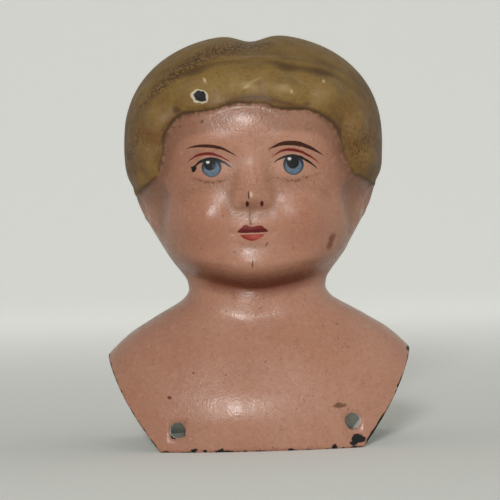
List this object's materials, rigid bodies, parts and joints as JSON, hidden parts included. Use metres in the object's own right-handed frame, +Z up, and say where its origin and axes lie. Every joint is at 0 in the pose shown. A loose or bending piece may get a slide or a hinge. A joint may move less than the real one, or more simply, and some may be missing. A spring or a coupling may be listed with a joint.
{
  "type": "doll head",
  "caption": "Shoulder head for a doll in painted tinplate: moulded wavy hair, painted face, bust plate with sew holes, pressed as a front and a back shell and soldered along the side seam.",
  "frame": {"origin": "middle of the footprint, at the height of the flaps' bottom edges", "axes": "+Z up through the crown, the face looks along -Y, +X to the right as seen from the front"},
  "size_m": [0.08, 0.0586, 0.1073],
  "materials": {
    "flesh_enamel": "gloss",
    "hair_enamel": "gloss",
    "solder": "dull"
  },
  "bodies": {
    "root": {"front_shell": "flesh_enamel", "back_shell": "hair_enamel", "solder_seam_left": "solder", "solder_seam_crown": "solder", "solder_seam_right": "solder"}
  },
  "joints": []
}
